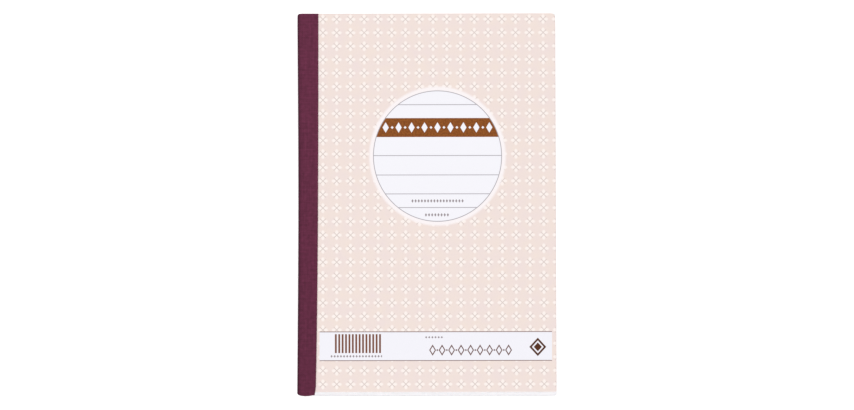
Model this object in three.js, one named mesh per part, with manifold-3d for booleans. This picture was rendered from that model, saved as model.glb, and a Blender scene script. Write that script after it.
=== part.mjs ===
// A carbonless order book that lies closed on its back cover, front cover up.
// Millimetres. X runs across the book from the bound spine to the fore edge, Y up the page from the
// foot to the head, and Z up through the leaves. The origin is under the middle of the outline.
//
// A leaf or a cover is one sheet on the real book. Here it is parted where it bends, at the fold
// line beside the spine cloth, into the margin that the binding holds and the panel that turns.
// Every fold axis lies just outside the cloth, so a turned leaf comes to rest on those above it.

import * as THREE from "three";
import { mergeVertices } from "three/addons/utils/BufferGeometryUtils.js";
import Module from "manifold-3d";

// Leaves and sets
const leafWidth = 140;
const leafHeight = 210;
const leafThickness = 0.07;
const setCount = 50;
const copyNames = ["top_copy", "second_copy", "third_copy"];
const tornCopyCount = 2; // the copies of a set that have a perforation
const looseSetCount = 2; // the sets on top that lie leaf by leaf
const singleSetCount = 8; // the sets behind those that lie as one piece each
const setsPerPacket = 5; // the rest lie in packets

// Covers and the loose card
const frontCardThickness = 0.35;
const backBoardThickness = 0.6;
const shieldThickness = 0.3;
const shieldFromFold = 1.5;
const shieldFromForeEdge = 1;
const shieldFromHead = 2;
const shieldFromFoot = 2;
const shieldCornerRadius = 4;

// Spine cloth
const clothThickness = 0.3;
const clothFrontWidth = 11.3; // at the head
const clothFrontSlant = 1.4; // what the width loses on its way to the foot
const clothBackFromFold = 1.2;
const clothFootOverhang = 2; // in front
const clothFoldRadius = 0.5;
const glueThickness = 0.3;

// Fold line and perforation
const foldFromCloth = 0.5;
const foldGap = 0.1;
const foldAxisClearance = 0.05;
const perforationFromFold = 3.4;
const perforationGap = 0.1;

// Staples
const stapleCount = 2;
const stapleSpacing = 120;
const stapleFromSpine = 5.8;
const wireRadius = 0.35;
const wireSides = 8;
const crownLength = 14;
const clinchLength = 4;
const bendRadius = 0.9;
const arcDivisions = 2;
const wireClearance = 0.3;

// Air between pieces that lie on one another
const layGap = 0.02;

// Places across the book
const bookWidth = clothThickness + glueThickness + 2 * layGap + leafWidth;
const spineX = -bookWidth / 2;
const foreEdgeX = bookWidth / 2;
const glueX = spineX + clothThickness + layGap;
const leafSpineX = glueX + glueThickness + layGap;
const clothFrontX = spineX + clothFrontWidth;
const foldX = clothFrontX + foldFromCloth;
const clothBackX = foldX - clothBackFromFold;
const stapleX = spineX + stapleFromSpine;

// Places up the page
const footY = -(leafHeight - clothFootOverhang) / 2;
const headY = footY + leafHeight;
const clothFootY = footY - clothFootOverhang;

// Places through the book. The shield lies among the leaves but not among their margins, so it sets
// the back cover's panel lower than the back cover's margin.
const clothBottomZ = Math.max(0, shieldThickness - clothThickness);
const marginFloorZ = clothBottomZ + clothThickness + layGap;
const backPanelZ = marginFloorZ - shieldThickness - layGap;
const shieldZ = backPanelZ + backBoardThickness + layGap;
const firstLeafZ = marginFloorZ + backBoardThickness + layGap;

const colours = {
  coverCard: 0xf2e3dd,
  backBoard: 0xb9b4ac,
  bookCloth: 0x652f46,
  glue: 0xe6dcc4,
  wire: 0xb8bcc0,
  topPaper: 0xf6f5f8,
  secondPaper: 0xf7dfe4,
  thirdPaper: 0xdfe6f4,
  setPaper: 0xeeebf2,
  shieldCard: 0xcfc4ae,
};

const wasm = await Module();
wasm.setup();

function material(colour, roughness, metalness = 0) {
  return new THREE.MeshStandardMaterial({ color: colour, roughness, metalness });
}

const materials = {
  coverCard: material(colours.coverCard, 0.55),
  backBoard: material(colours.backBoard, 0.85),
  bookCloth: material(colours.bookCloth, 0.8),
  glue: material(colours.glue, 0.5),
  wire: material(colours.wire, 0.35, 1),
  topPaper: material(colours.topPaper, 0.85),
  secondPaper: material(colours.secondPaper, 0.85),
  thirdPaper: material(colours.thirdPaper, 0.85),
  setPaper: material(colours.setPaper, 0.85),
  shieldCard: material(colours.shieldCard, 0.8),
};

// A closed solid made from a geometry, for cutting.
function solidFrom(geometry) {
  const bare = geometry.clone();
  bare.deleteAttribute("normal");
  bare.deleteAttribute("uv");
  const merged = mergeVertices(bare);
  return new wasm.Manifold(
    new wasm.Mesh({
      numProp: 3,
      vertProperties: merged.attributes.position.array,
      triVerts: new Uint32Array(merged.index.array),
    }),
  );
}

function geometryFrom(solid) {
  const cut = solid.getMesh();
  const geometry = new THREE.BufferGeometry();
  geometry.setAttribute("position", new THREE.BufferAttribute(cut.vertProperties, 3));
  geometry.setIndex(new THREE.BufferAttribute(cut.triVerts, 1));
  geometry.computeVertexNormals();
  return geometry;
}

// A box between two corners, where it lies in the book.
function boxBetween([x0, y0, z0], [x1, y1, z1]) {
  const box = new THREE.BoxGeometry(x1 - x0, y1 - y0, z1 - z0);
  return box.translate((x0 + x1) / 2, (y0 + y1) / 2, (z0 + z1) / 2);
}

// The turning or sliding pieces hang in a group at their fold line, so they turn about its axis.
function foldGroup(name, foldZ) {
  const group = new THREE.Group();
  group.name = name + "_turn";
  group.position.set(foldX, 0, foldZ);
  return group;
}

// A flat panel of the full page height, from one place across the book to another.
function panel(name, surface, fromX, toX, fromZ, thickness, foldZ) {
  const sheet = new THREE.Mesh(new THREE.BoxGeometry(toX - fromX, leafHeight, thickness), surface);
  sheet.name = name;
  sheet.position.set(
    (fromX + toX) / 2 - foldX,
    (footY + headY) / 2,
    fromZ + thickness / 2 - foldZ,
  );
  return sheet;
}

// The turning part of a leaf or a cover: one panel, or a stub and a sheet beyond a perforation.
function turningPiece(piece, foldZ) {
  const group = foldGroup(piece.name, foldZ);
  const panelX = foldX + foldGap / 2;
  if (!piece.torn) {
    group.add(panel(piece.name, piece.surface, panelX, foreEdgeX, piece.z, piece.thickness, foldZ));
    return group;
  }
  const tearX = foldX + perforationFromFold;
  const stubEndX = tearX - perforationGap / 2;
  const sheetX = tearX + perforationGap / 2;
  const stubName = piece.name + "_stub";
  group.add(panel(stubName, piece.surface, panelX, stubEndX, piece.z, piece.thickness, foldZ));
  group.add(panel(piece.name, piece.surface, sheetX, foreEdgeX, piece.z, piece.thickness, foldZ));
  return group;
}

// The strip of a leaf or a cover that the binding holds, with the staples' tunnels through it.
function margin(piece, tunnels) {
  const low = [leafSpineX, footY, piece.z];
  const high = [foldX - foldGap / 2, headY, piece.z + piece.thickness];
  const cut = solidFrom(boxBetween(low, high)).subtract(tunnels);
  const strip = new THREE.Mesh(geometryFrom(cut), piece.surface);
  strip.name = piece.name + "_margin";
  return strip;
}

function setNumber(number) {
  return String(number).padStart(2, "0");
}

// The leaves from the top of the book down: loose sets leaf by leaf, single sets, then packets.
function leafPieces() {
  const copySurfaces = [materials.topPaper, materials.secondPaper, materials.thirdPaper];
  const pieces = [];
  for (let number = 1; number <= looseSetCount; number += 1) {
    copyNames.forEach((copy, index) => {
      pieces.push({
        name: "set_" + setNumber(number) + "_" + copy,
        surface: copySurfaces[index % copySurfaces.length],
        thickness: leafThickness,
        torn: index < tornCopyCount,
      });
    });
  }
  const setThickness = copyNames.length * leafThickness;
  const firstPacketSet = looseSetCount + singleSetCount + 1;
  for (let number = looseSetCount + 1; number < firstPacketSet; number += 1) {
    pieces.push({
      name: "set_" + setNumber(number),
      surface: materials.setPaper,
      thickness: setThickness,
    });
  }
  for (let first = firstPacketSet; first <= setCount; first += setsPerPacket) {
    const last = Math.min(first + setsPerPacket - 1, setCount);
    pieces.push({
      name: "sets_" + setNumber(first) + "_to_" + setNumber(last),
      surface: materials.setPaper,
      thickness: (last - first + 1) * setThickness,
    });
  }
  return pieces;
}

// Each leaf piece gets its height in the stack, counted up from the back cover.
function stackUp(pieces) {
  let z = firstLeafZ;
  for (const piece of [...pieces].reverse()) {
    piece.z = z;
    z += piece.thickness + layGap;
  }
  return z;
}

// The centre line of a staple in its own plane: crown on top, two legs, and both ends turned in.
function staplePath(crownZ, clinchZ) {
  const legY = crownLength / 2;
  const path = new THREE.Path();
  path.moveTo(-legY + clinchLength, clinchZ);
  path.lineTo(-legY + bendRadius, clinchZ);
  path.absarc(-legY + bendRadius, clinchZ + bendRadius, bendRadius, -Math.PI / 2, -Math.PI, true);
  path.lineTo(-legY, crownZ - bendRadius);
  path.absarc(-legY + bendRadius, crownZ - bendRadius, bendRadius, Math.PI, Math.PI / 2, true);
  path.lineTo(legY - bendRadius, crownZ);
  path.absarc(legY - bendRadius, crownZ - bendRadius, bendRadius, Math.PI / 2, 0, true);
  path.lineTo(legY, clinchZ + bendRadius);
  path.absarc(legY - bendRadius, clinchZ + bendRadius, bendRadius, 0, -Math.PI / 2, true);
  path.lineTo(legY - clinchLength, clinchZ);
  return path.getPoints(arcDivisions);
}

// A round wire along a flat path: one ring of points at each point of the path, closed at the ends.
function wireAlong(path) {
  const positions = [];
  const indices = [];
  path.forEach((point, i) => {
    const before = path[Math.max(i - 1, 0)];
    const after = path[Math.min(i + 1, path.length - 1)];
    const along = after.clone().sub(before).normalize();
    for (let side = 0; side < wireSides; side += 1) {
      const angle = (2 * Math.PI * side) / wireSides;
      const across = wireRadius * Math.cos(angle);
      const out = wireRadius * Math.sin(angle);
      positions.push(across, point.x - along.y * out, point.y + along.x * out);
    }
  });
  const ringCount = path.length;
  for (let ring = 0; ring < ringCount - 1; ring += 1) {
    for (let side = 0; side < wireSides; side += 1) {
      const a = ring * wireSides + side;
      const b = ring * wireSides + ((side + 1) % wireSides);
      indices.push(a, a + wireSides, b, b, a + wireSides, b + wireSides);
    }
  }
  const lastRing = (ringCount - 1) * wireSides;
  for (let side = 1; side < wireSides - 1; side += 1) {
    indices.push(0, side, side + 1);
    indices.push(lastRing, lastRing + side + 1, lastRing + side);
  }
  const geometry = new THREE.BufferGeometry();
  geometry.setAttribute("position", new THREE.Float32BufferAttribute(positions, 3));
  geometry.setIndex(indices);
  geometry.computeVertexNormals();
  return geometry;
}

// The room that one staple takes in the margins: a slot for its crown, two leg holes and a slot for
// its turned ends, all with the wire's clearance round them.
function stapleTunnel(middleY, crownZ, clinchZ) {
  const reach = wireRadius + wireClearance;
  const legY = crownLength / 2;
  const room = (y0, y1, z0, z1) =>
    solidFrom(boxBetween([stapleX - reach, y0, z0], [stapleX + reach, y1, z1]));
  const ends = [middleY - legY - reach, middleY + legY + reach];
  const low = clinchZ - reach;
  const high = crownZ + reach;
  let tunnel = room(ends[0], ends[1], crownZ - reach, high);
  for (const side of [-1, 1]) {
    const leg = middleY + side * legY;
    const turned = leg - side * clinchLength;
    tunnel = tunnel.add(room(leg - reach, leg + reach, low, high));
    const slot = [Math.min(leg, turned) - reach, Math.max(leg, turned) + reach];
    tunnel = tunnel.add(room(slot[0], slot[1], low, clinchZ + reach));
  }
  return tunnel;
}

function staplePlaces() {
  const middleY = (footY + headY) / 2;
  return Array.from({ length: stapleCount }, (_, index) => ({
    name: "staple_" + (index + 1),
    y: middleY + (index - (stapleCount - 1) / 2) * stapleSpacing,
  }));
}

function staple(place, crownZ, clinchZ) {
  const wire = new THREE.Mesh(wireAlong(staplePath(crownZ, clinchZ)), materials.wire);
  wire.name = place.name;
  wire.position.set(stapleX, place.y, 0);
  return wire;
}

// The cloth's section: a channel that opens to the right, round at its two outer corners.
function clothSection(topZ) {
  const section = new THREE.Shape();
  const radius = clothFoldRadius;
  const inX = spineX + clothThickness;
  section.moveTo(clothBackX, clothBottomZ);
  section.lineTo(clothBackX, clothBottomZ + clothThickness);
  section.lineTo(inX, clothBottomZ + clothThickness);
  section.lineTo(inX, topZ - clothThickness);
  section.lineTo(clothFrontX, topZ - clothThickness);
  section.lineTo(clothFrontX, topZ);
  section.lineTo(spineX + radius, topZ);
  section.absarc(spineX + radius, topZ - radius, radius, Math.PI / 2, Math.PI, false);
  section.lineTo(spineX, clothBottomZ + radius);
  section.absarc(spineX + radius, clothBottomZ + radius, radius, Math.PI, 1.5 * Math.PI, false);
  section.closePath();
  return section;
}

// The cloth runs the whole height. Its front edge slants from head to foot, and its foot is cut
// slanting: past the leaves in front and level with them at the back.
function spineCloth(topZ) {
  const length = headY - clothFootY;
  const geometry = new THREE.ExtrudeGeometry(clothSection(topZ), {
    depth: length,
    bevelEnabled: false,
    curveSegments: 2 * arcDivisions,
  });
  geometry.rotateX(Math.PI / 2);
  geometry.translate(0, headY, 0);
  const points = geometry.attributes.position;
  const bookMiddleZ = (clothBottomZ + topZ) / 2;
  const bandMiddleX = (spineX + clothFrontX) / 2;
  for (let i = 0; i < points.count; i += 1) {
    const isFoot = points.getY(i) < footY;
    const isFrontEdge = points.getZ(i) > bookMiddleZ && points.getX(i) > bandMiddleX;
    if (isFoot && isFrontEdge) points.setX(i, clothFrontX - clothFrontSlant);
    const heightShare = (points.getZ(i) - clothBottomZ) / (topZ - clothBottomZ);
    if (isFoot) points.setY(i, footY - clothFootOverhang * heightShare);
  }
  const cloth = new THREE.Mesh(geometry, materials.bookCloth);
  cloth.name = "spine_cloth";
  return cloth;
}

function spineGlue(topZ) {
  const box = boxBetween([glueX, footY, marginFloorZ], [glueX + glueThickness, headY, topZ]);
  const film = new THREE.Mesh(box, materials.glue);
  film.name = "spine_glue";
  return film;
}

// The loose card: a plate with round corners that stops short of the fold and of the edges.
function writingShield() {
  const left = foldX + shieldFromFold;
  const right = foreEdgeX - shieldFromForeEdge;
  const low = footY + shieldFromFoot;
  const high = headY - shieldFromHead;
  const radius = shieldCornerRadius;
  const outline = new THREE.Shape();
  outline.absarc(right - radius, high - radius, radius, 0, Math.PI / 2, false);
  outline.absarc(left + radius, high - radius, radius, Math.PI / 2, Math.PI, false);
  outline.absarc(left + radius, low + radius, radius, Math.PI, 1.5 * Math.PI, false);
  outline.absarc(right - radius, low + radius, radius, 1.5 * Math.PI, 2 * Math.PI, false);
  outline.closePath();
  const plate = new THREE.ExtrudeGeometry(outline, {
    depth: shieldThickness,
    bevelEnabled: false,
    curveSegments: 2 * arcDivisions,
  });
  const card = new THREE.Mesh(plate, materials.shieldCard);
  card.name = "writing_shield";
  card.position.z = shieldZ;
  return card;
}

function orderBook() {
  const book = new THREE.Group();
  book.name = "order_book";

  const leaves = leafPieces();
  const frontCover = {
    name: "front_cover",
    surface: materials.coverCard,
    thickness: frontCardThickness,
    z: stackUp(leaves),
  };
  const backCover = {
    name: "back_cover",
    surface: materials.backBoard,
    thickness: backBoardThickness,
    z: marginFloorZ,
  };
  const marginTopZ = frontCover.z + frontCover.thickness;
  const clothTopZ = marginTopZ + layGap + clothThickness;

  const crownZ = marginTopZ - layGap - wireRadius;
  const clinchZ = marginFloorZ + layGap + wireRadius;
  const places = staplePlaces();
  const tunnels = places
    .map((place) => stapleTunnel(place.y, crownZ, clinchZ))
    .reduce((joined, tunnel) => joined.add(tunnel));

  book.add(margin(frontCover, tunnels));
  book.add(margin(backCover, tunnels));
  for (const leaf of leaves) book.add(margin(leaf, tunnels));
  for (const place of places) book.add(staple(place, crownZ, clinchZ));
  book.add(spineGlue(marginTopZ));
  book.add(spineCloth(clothTopZ));

  const frontFoldZ = clothTopZ + foldAxisClearance;
  for (const piece of [frontCover, ...leaves]) book.add(turningPiece(piece, frontFoldZ));
  const backFoldZ = Math.min(clothBottomZ, backPanelZ) - foldAxisClearance;
  book.add(turningPiece({ ...backCover, z: backPanelZ }, backFoldZ));
  book.add(writingShield());
  return book;
}

export default orderBook();
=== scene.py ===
import math
import random
import bpy
from mathutils import Matrix, Vector


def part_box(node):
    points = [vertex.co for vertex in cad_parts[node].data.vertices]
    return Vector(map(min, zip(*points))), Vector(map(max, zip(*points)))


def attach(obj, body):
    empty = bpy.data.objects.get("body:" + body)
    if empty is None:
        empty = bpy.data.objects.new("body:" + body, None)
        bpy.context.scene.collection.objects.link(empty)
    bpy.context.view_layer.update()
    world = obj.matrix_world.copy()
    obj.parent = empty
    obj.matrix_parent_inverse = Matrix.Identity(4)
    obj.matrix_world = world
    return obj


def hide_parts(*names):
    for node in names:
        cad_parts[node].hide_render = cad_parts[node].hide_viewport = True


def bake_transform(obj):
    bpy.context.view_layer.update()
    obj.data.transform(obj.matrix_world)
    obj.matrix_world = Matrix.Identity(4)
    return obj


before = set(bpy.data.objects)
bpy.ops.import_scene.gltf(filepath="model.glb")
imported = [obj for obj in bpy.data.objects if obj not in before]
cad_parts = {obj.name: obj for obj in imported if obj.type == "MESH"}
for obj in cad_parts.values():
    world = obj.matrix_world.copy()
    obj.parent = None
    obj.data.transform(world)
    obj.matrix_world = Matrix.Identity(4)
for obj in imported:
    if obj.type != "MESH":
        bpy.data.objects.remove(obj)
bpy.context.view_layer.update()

mm = 0.001
printMap = "printMm"  # the pieces' UV map: places on the page in millimetres
asideMm = 1000  # undersides are mapped this far aside, and cut edges twice as far
foldShadeMap = "paintedFoldShade"  # attribute of the cloth: 1 where its fold carries painted shade
pageSpanX, pageSpanY = (-90, 90), (-120, 120)  # wider than the page, in millimetres

# Places that the pieces share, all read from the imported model
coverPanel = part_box("front_cover")
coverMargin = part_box("front_cover_margin")
foldX = (coverMargin[1].x + coverPanel[0].x) / 2
foreX = coverPanel[1].x
footY = coverPanel[0].y
headY = coverPanel[1].y
spineTrim = 0.3 * mm  # the leaves stop this much further from the cloth than their solids
leafSpineX = coverMargin[0].x + spineTrim


def linearColour(sRgbHex):
    parts = [int(sRgbHex[i:i + 2], 16) / 255 for i in (0, 2, 4)]
    return [p / 12.92 if p <= 0.04045 else ((p + 0.055) / 1.055) ** 2.4 for p in parts] + [1]


# The output that is meant where a node is named alone: its first shown one.
def shownOutput(node):
    return next(output for output in node.outputs if output.enabled)


# Adds one node. Its inputs are values, sockets or nodes.
def addNode(tree, kind, inputs=None, **settings):
    node = tree.nodes.new(kind)
    for name, value in settings.items():
        setattr(node, name, value)
    for key, value in (inputs or {}).items():
        if isinstance(value, bpy.types.Node):
            value = shownOutput(value)
        if isinstance(value, bpy.types.NodeSocket):
            tree.links.new(value, node.inputs[key])
        else:
            node.inputs[key].default_value = value
    return node


# Starts a node tree with named inputs and one output.
def newTree(name, kind, inputs, outputName, outputKind):
    tree = bpy.data.node_groups.new(name, kind)
    for socketName, socketKind in inputs.items():
        tree.interface.new_socket(socketName, in_out="INPUT",
                                  socket_type="NodeSocket" + socketKind)
    tree.interface.new_socket(outputName, in_out="OUTPUT", socket_type="NodeSocket" + outputKind)
    return tree, addNode(tree, "NodeGroupInput").outputs


def newMaterial(name, **shaderInputs):
    material = bpy.data.materials.new(name)
    material.use_nodes = True
    tree = material.node_tree
    tree.nodes.clear()
    inputs = {key.replace("_", " "): value for key, value in shaderInputs.items()}
    shader = addNode(tree, "ShaderNodeBsdfPrincipled", inputs)
    addNode(tree, "ShaderNodeOutputMaterial", {"Surface": shader})
    return material, tree, shader


def connectShader(tree, shader, colour, bump):
    tree.links.new(shownOutput(colour), shader.inputs["Base Color"])
    tree.links.new(bump.outputs[0], shader.inputs["Normal"])


# Print is drawn as masks on the page, in millimetres
inkSoftness = 0.12


# How far a place is inside a span, as 0 to 1, with a soft edge.
def buildSpanGroup():
    group, given = newTree("spanMask", "ShaderNodeTree",
                           {"Place": "Float", "Middle": "Float", "Half": "Float"}, "Mask", "Float")
    offset = addNode(group, "ShaderNodeMath", {0: given["Place"], 1: given["Middle"]},
                     operation="SUBTRACT")
    away = addNode(group, "ShaderNodeMath", {0: offset}, operation="ABSOLUTE")
    depth = addNode(group, "ShaderNodeMath", {0: given["Half"], 1: away}, operation="SUBTRACT")
    mask = addNode(group, "ShaderNodeMath", {0: depth, 1: 1 / inkSoftness, 2: 0.5},
                   operation="MULTIPLY_ADD", use_clamp=True)
    addNode(group, "NodeGroupOutput", {0: mask})
    return group


spanGroup = buildSpanGroup()


def pagePlace(tree):
    place = addNode(tree, "ShaderNodeUVMap", uv_map=printMap)
    split = addNode(tree, "ShaderNodeSeparateXYZ", {0: place})
    return place, split.outputs[0], split.outputs[1]


def boxMask(tree, x, y, spanX, spanY):
    masks = []
    for along, (low, high) in ((x, spanX), (y, spanY)):
        masks.append(addNode(tree, "ShaderNodeGroup",
                             {0: along, 1: (low + high) / 2, 2: (high - low) / 2},
                             node_tree=spanGroup))
    return addNode(tree, "ShaderNodeMath", {0: masks[0], 1: masks[1]}, operation="MULTIPLY")


# The outline of a box, drawn with a pen of the given width.
def frameMask(tree, x, y, spanX, spanY, pen):
    outer = boxMask(tree, x, y, spanX, spanY)
    inner = boxMask(tree, x, y, (spanX[0] + pen, spanX[1] - pen), (spanY[0] + pen, spanY[1] - pen))
    return addNode(tree, "ShaderNodeMath", {0: outer, 1: inner}, operation="SUBTRACT",
                   use_clamp=True)


# Offsets from the nearest of the marks that repeat at a pitch.
def repeated(tree, along, first, pitch):
    shifted = addNode(tree, "ShaderNodeMath", {0: along, 1: first - pitch / 2},
                      operation="SUBTRACT")
    wrapped = addNode(tree, "ShaderNodeMath", {0: shifted, 1: pitch}, operation="FLOORED_MODULO")
    return addNode(tree, "ShaderNodeMath", {0: wrapped, 1: pitch / 2}, operation="SUBTRACT")


def lozengeMask(tree, x, y, halfX, halfY):
    shares = []
    for along, half in ((x, halfX), (y, halfY)):
        away = addNode(tree, "ShaderNodeMath", {0: along}, operation="ABSOLUTE")
        shares.append(addNode(tree, "ShaderNodeMath", {0: away, 1: half}, operation="DIVIDE"))
    total = addNode(tree, "ShaderNodeMath", {0: shares[0], 1: shares[1]}, operation="ADD")
    depth = addNode(tree, "ShaderNodeMath", {0: 1.0, 1: total}, operation="SUBTRACT")
    return addNode(tree, "ShaderNodeMath", {0: depth, 1: min(halfX, halfY) / inkSoftness, 2: 0.5},
                   operation="MULTIPLY_ADD", use_clamp=True)


# A row of lozenges about a middle one, with small ones between them.
def lozengeChain(tree, x, y, middle, pitch, beside, halves, smallHalf):
    offsetY = addNode(tree, "ShaderNodeMath", {0: y, 1: middle[1]}, operation="SUBTRACT")
    marks = []
    for start, (halfX, halfY), reach in ((middle[0], halves, beside + 0.5),
                                         (middle[0] + pitch / 2, (smallHalf,) * 2, beside)):
        offsetX = repeated(tree, x, start, pitch)
        mark = lozengeMask(tree, offsetX, offsetY, halfX, halfY)
        room = boxMask(tree, x, y, (middle[0] - reach * pitch, middle[0] + reach * pitch),
                       (middle[1] - halfY, middle[1] + halfY))
        marks.append(addNode(tree, "ShaderNodeMath", {0: mark, 1: room}, operation="MULTIPLY"))
    return marks


# A row of dots along a span. The margin is the room above and below them.
def dottedRow(tree, x, y, span, height, firstDot, pitch, halves, margin=0):
    dotX = repeated(tree, x, firstDot, pitch)
    dotY = addNode(tree, "ShaderNodeMath", {0: y, 1: height}, operation="SUBTRACT")
    dots = lozengeMask(tree, dotX, dotY, *halves)
    reach = halves[1] + margin
    room = boxMask(tree, x, y, span, (height - reach, height + reach))
    return addNode(tree, "ShaderNodeMath", {0: dots, 1: room}, operation="MULTIPLY")


# How far inside an ellipse a place is, in millimetres along its smaller radius.
def ovalDepth(tree, x, y, middle, radii):
    shares = []
    for along, centre, radius in ((x, middle[0], radii[0]), (y, middle[1], radii[1])):
        offset = addNode(tree, "ShaderNodeMath", {0: along, 1: centre}, operation="SUBTRACT")
        share = addNode(tree, "ShaderNodeMath", {0: offset, 1: radius}, operation="DIVIDE")
        shares.append(addNode(tree, "ShaderNodeMath", {0: share, 1: 2.0}, operation="POWER"))
    total = addNode(tree, "ShaderNodeMath", {0: shares[0], 1: shares[1]}, operation="ADD")
    reach = addNode(tree, "ShaderNodeMath", {0: total}, operation="SQRT")
    return addNode(tree, "ShaderNodeMath", {0: reach, 1: -min(radii), 2: min(radii)},
                   operation="MULTIPLY_ADD")


# Inks laid one over another on a ground colour.
def paintLayers(tree, ground, layers):
    paint = ground
    for mask, colour in layers:
        paint = addNode(tree, "ShaderNodeMix", {0: mask, 6: paint, 7: linearColour(colour)},
                        data_type="RGBA")
    return paint


# Multiplies the paint by a tone where the page map says that a sheet is cut.
def tonedAtCutEdges(tree, x, paint, tone):
    isCutEdge = addNode(tree, "ShaderNodeMath", {0: x, 1: asideMm * 1.5}, operation="GREATER_THAN")
    shade = addNode(tree, "ShaderNodeMapRange", {0: isCutEdge, 3: 1.0, 4: tone})
    return addNode(tree, "ShaderNodeVectorMath", {0: paint, 1: shade}, operation="MULTIPLY")


# A stock's own surface: cloudy tone between two colours, and a fine fibrous bump.
def stockSurface(tree, place, pale, deep, cloudMm, fibreMm, fibreDepthMm):
    cloud = addNode(tree, "ShaderNodeTexNoise",
                    {"Vector": place, "Scale": 1 / cloudMm, "Detail": 3.0, "Roughness": 0.6})
    tone = addNode(tree, "ShaderNodeMix",
                   {0: cloud.outputs[0], 6: linearColour(pale), 7: linearColour(deep)},
                   data_type="RGBA")
    fibre = addNode(tree, "ShaderNodeTexNoise",
                    {"Vector": place, "Scale": 1 / fibreMm, "Detail": 4.0, "Roughness": 0.7,
                     "Distortion": 0.6})
    bump = addNode(tree, "ShaderNodeBump",
                   {"Strength": 0.5, "Distance": fibreDepthMm * mm, "Height": fibre.outputs[0]})
    return tone, bump


# Printed card, offset printed and matt varnished: even colour, a faint satin surface.
# Places and sizes of the print are in millimetres on the page.
coverPrint = {
    "groundPale": "f5e5d8",
    "groundDeep": "efdfe0",
    "insideWhite": "f4f1ec",  # the card's unprinted back
    "edgeShade": ("e3d8d6", 0.7, 0.55),  # painted shade along the fore and head edges: tint, width, strength
    "petal": "fef4ef",
    "stroke": "dccfca",
    "motifPitch": 7.5,
    "motifStart": (-56.4, -99.8),
    "petalOut": 1.55,
    "petalRadii": (1.22, 0.88),
    "petalEdge": (2.2, 0.4),  # how fast a petal whitens inwards, and how white its edge is
    "strokeHalves": (0.3, 1.7),  # across and along the strokes between the petals
    "labelMiddle": (5.95, 26.5),
    "labelRadii": (34.87, 36.25),
    "haloReach": (1.6, 2.9),
    "labelWhite": "f7f6fc",
    "haloWhite": "fdf6f7",
    "outlineInk": "aaa5ac",
    "outlinePen": 0.4,
    "rules": (55.05, 26.77, 16.0, 5.5, -2.1),
    "band": (37.1, 47.59),
    "bandInk": "93531a",
    "bandGrain": (0.9, (0.4, 0.6), "7e4413"),  # uneven solid ink: width, noise span, deeper tone
    "bandMarks": (42.4, 7.05, 4),  # height, pitch, how many on each side of the middle one
    "bandLozenges": ((1.7, 2.9), 0.8),  # halves of the large ones, half of the small ones
    "dotted": (((-8.2, 20.1), 1.6, 1.0), ((-0.9, 12.7), -6.15, 1.0), ((-52.2, -24.3), -84.35, 0.75),
               ((-0.9, 9.3), -73.9, 0.65)),  # each row's span, height and half of a dot's height
    "dottedInk": "9a9094",
    "dotPitch": 1.7,
    "dotHalf": 0.62,
    "firstDot": 0.5,  # from the row's start
    "strip": ((-58.2, 67.88), (-86.75, -70.85)),
    "stripWhite": "f5f4fb",
    "stripPen": 0.44,
    "stripInk": "8e7675",
    "bars": ((-50.3, -24.5), (-82.6, -72.1), 1.843),  # spans and pitch
    "barShare": 0.27,  # half of a bar as a share of the pitch
    "barInk": "7b4a35",
    "chain": (23.7, -81.0, 5.15, 4),
    "chainLozenges": (((1.85, 3.1), 0.6, "6e4a44"), ((1.2, 2.0), 0.1, "f5f4fb")),
    "badge": (60.15, -79.3, 4.6, 5.1),
    "badgeRings": ((1, "522a12"), (0.7, "f5f4fb"), (0.48, "522a12")),
}


# Four-petalled rosettes on a straight square grid, folded on to one petal
def rosetteLayers(tree, x, y, printedSide):
    look = coverPrint
    cellX = repeated(tree, x, look["motifStart"][0], look["motifPitch"])
    cellY = repeated(tree, y, look["motifStart"][1], look["motifPitch"])
    awayX = addNode(tree, "ShaderNodeMath", {0: cellX}, operation="ABSOLUTE")
    awayY = addNode(tree, "ShaderNodeMath", {0: cellY}, operation="ABSOLUTE")
    far = addNode(tree, "ShaderNodeMath", {0: awayX, 1: awayY}, operation="MAXIMUM")
    near = addNode(tree, "ShaderNodeMath", {0: awayX, 1: awayY}, operation="MINIMUM")
    petalDepth = ovalDepth(tree, far, near, (look["petalOut"], 0), look["petalRadii"])
    whitening, edgeWhite = look["petalEdge"]
    petal = addNode(tree, "ShaderNodeMath", {0: petalDepth, 1: whitening, 2: edgeWhite},
                    operation="MULTIPLY_ADD", use_clamp=True)
    betweenPetals = addNode(tree, "ShaderNodeMath", {0: far, 1: near}, operation="SUBTRACT")
    halfAcross, halfAlong = look["strokeHalves"]
    stroke = boxMask(tree, betweenPetals, far, (-halfAcross, halfAcross), (-halfAlong, halfAlong))
    layers = []
    for mask, tone in ((petal, look["petal"]), (stroke, look["stroke"])):
        kept = addNode(tree, "ShaderNodeMath", {0: mask, 1: printedSide}, operation="MULTIPLY")
        layers.append((kept, tone))
    return layers


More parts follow.
